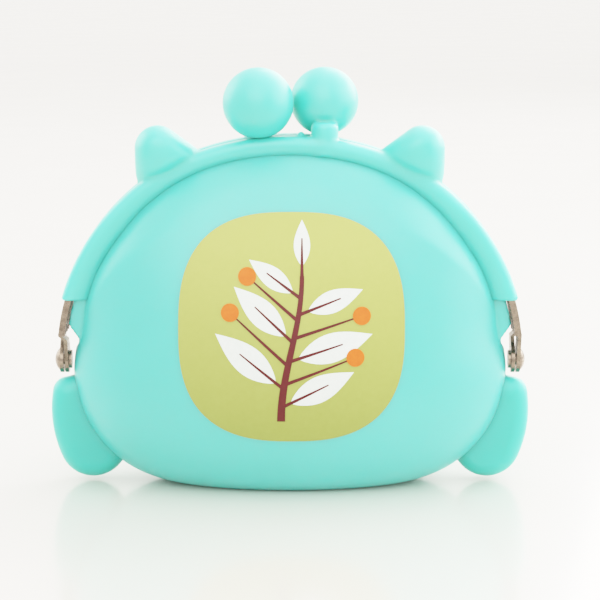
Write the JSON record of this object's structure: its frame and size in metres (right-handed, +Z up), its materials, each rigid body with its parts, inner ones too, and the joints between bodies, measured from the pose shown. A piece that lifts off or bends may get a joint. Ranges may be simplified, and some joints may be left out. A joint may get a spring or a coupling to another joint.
{
  "type": "coin purse",
  "caption": "Small silicone coin purse with a riveted metal clasp frame, snap balls on top, ears and side wings; the arched mouth hinges open to take coins.",
  "frame": {"origin": "middle of the flat base that the purse stands on", "axes": "+X to the viewer's right along the hinge line, +Y to the rear, +Z up"},
  "size_m": [0.105, 0.044, 0.0908],
  "materials": {
    "silicone": "soft satin",
    "nickel_steel": "nickel plated"
  },
  "bodies": {
    "pouch": {"pouch_base": "silicone", "pouch_fold": "silicone", "left_wing": "silicone", "right_wing": "silicone"},
    "front_jaw": {"front_panel": "silicone", "front_rim": "silicone", "front_frame": "nickel_steel", "front_clasp_post": "nickel_steel", "front_clasp_ball": "silicone", "front_rivet": "nickel_steel", "left_ear": "silicone", "right_ear": "silicone"},
    "rear_jaw": {"rear_panel": "silicone", "rear_rim": "silicone", "rear_frame": "nickel_steel", "rear_clasp_post": "nickel_steel", "rear_clasp_ball": "silicone", "rear_rivet": "nickel_steel"}
  },
  "joints": [
    {"name": "front_jaw_open", "type": "hinge", "parent": "pouch", "child": "front_jaw", "pos_m": [0, 0, 0.0268], "axis": [1, 0, 0], "range_deg": [0, 45], "stiffness_Nm_per_rad": 0.03, "springref_deg": -20.05, "deforming": ["pouch_fold"]},
    {"name": "rear_jaw_open", "type": "hinge", "parent": "pouch", "child": "rear_jaw", "pos_m": [0, 0, 0.0268], "axis": [-1, 0, 0], "range_deg": [0, 45], "stiffness_Nm_per_rad": 0.03, "springref_deg": -20.05, "deforming": ["pouch_fold"]}
  ],
  "couplings": [
    {"joint": "rear_jaw_open", "follows": "front_jaw_open", "ratio": 1}
  ]
}
